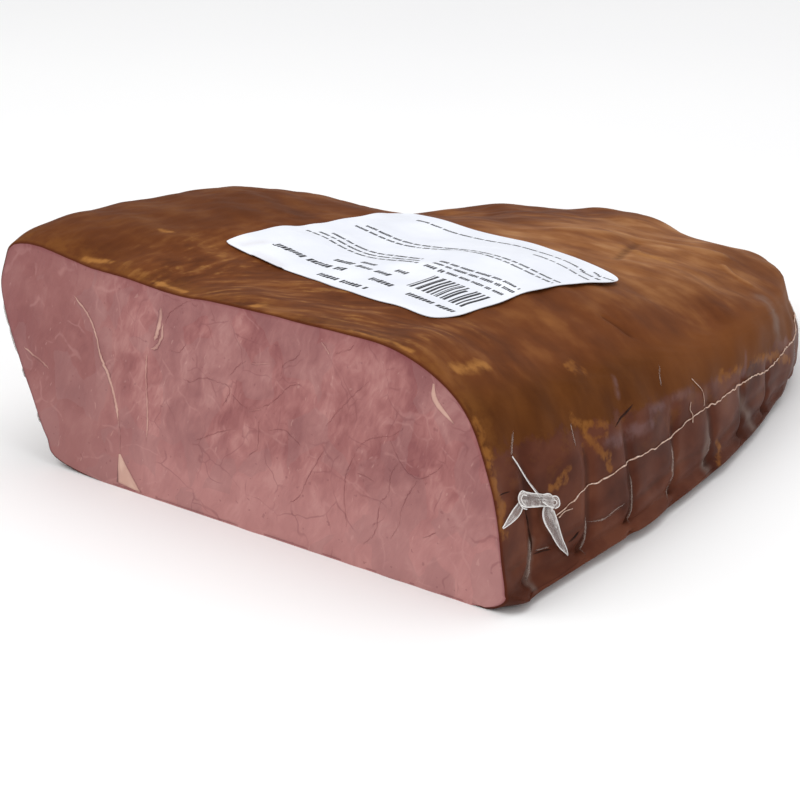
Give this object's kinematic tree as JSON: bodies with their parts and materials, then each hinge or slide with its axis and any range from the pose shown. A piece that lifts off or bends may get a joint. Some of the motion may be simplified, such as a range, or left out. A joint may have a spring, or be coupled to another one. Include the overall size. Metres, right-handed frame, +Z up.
{
  "type": "pastrami",
  "caption": "Half of a smoked, netted pastrami with a flat pink cut face, a rounded far end, a paper label on its brown skin, and a film knot and thin string along its side.",
  "frame": {"origin": "on the base plane, under the middle of the whole box", "axes": "+X along the cut face, +Y from the cut face to the rounded end, +Z up"},
  "size_m": [0.245, 0.3154, 0.0932],
  "materials": {
    "meat": "smoked brown skin with golden streaks, satin, with a moist mottled pink cut face",
    "label_paper": "white coated paper, slightly wavy, with plain grey dashes and bars",
    "string": "thin pale crinkled thread",
    "clear_film": "thin clear glossy film with milky folds"
  },
  "bodies": {
    "root": {"meat": "meat", "label": "label_paper", "string": "string", "film_tie": "clear_film"}
  },
  "joints": []
}
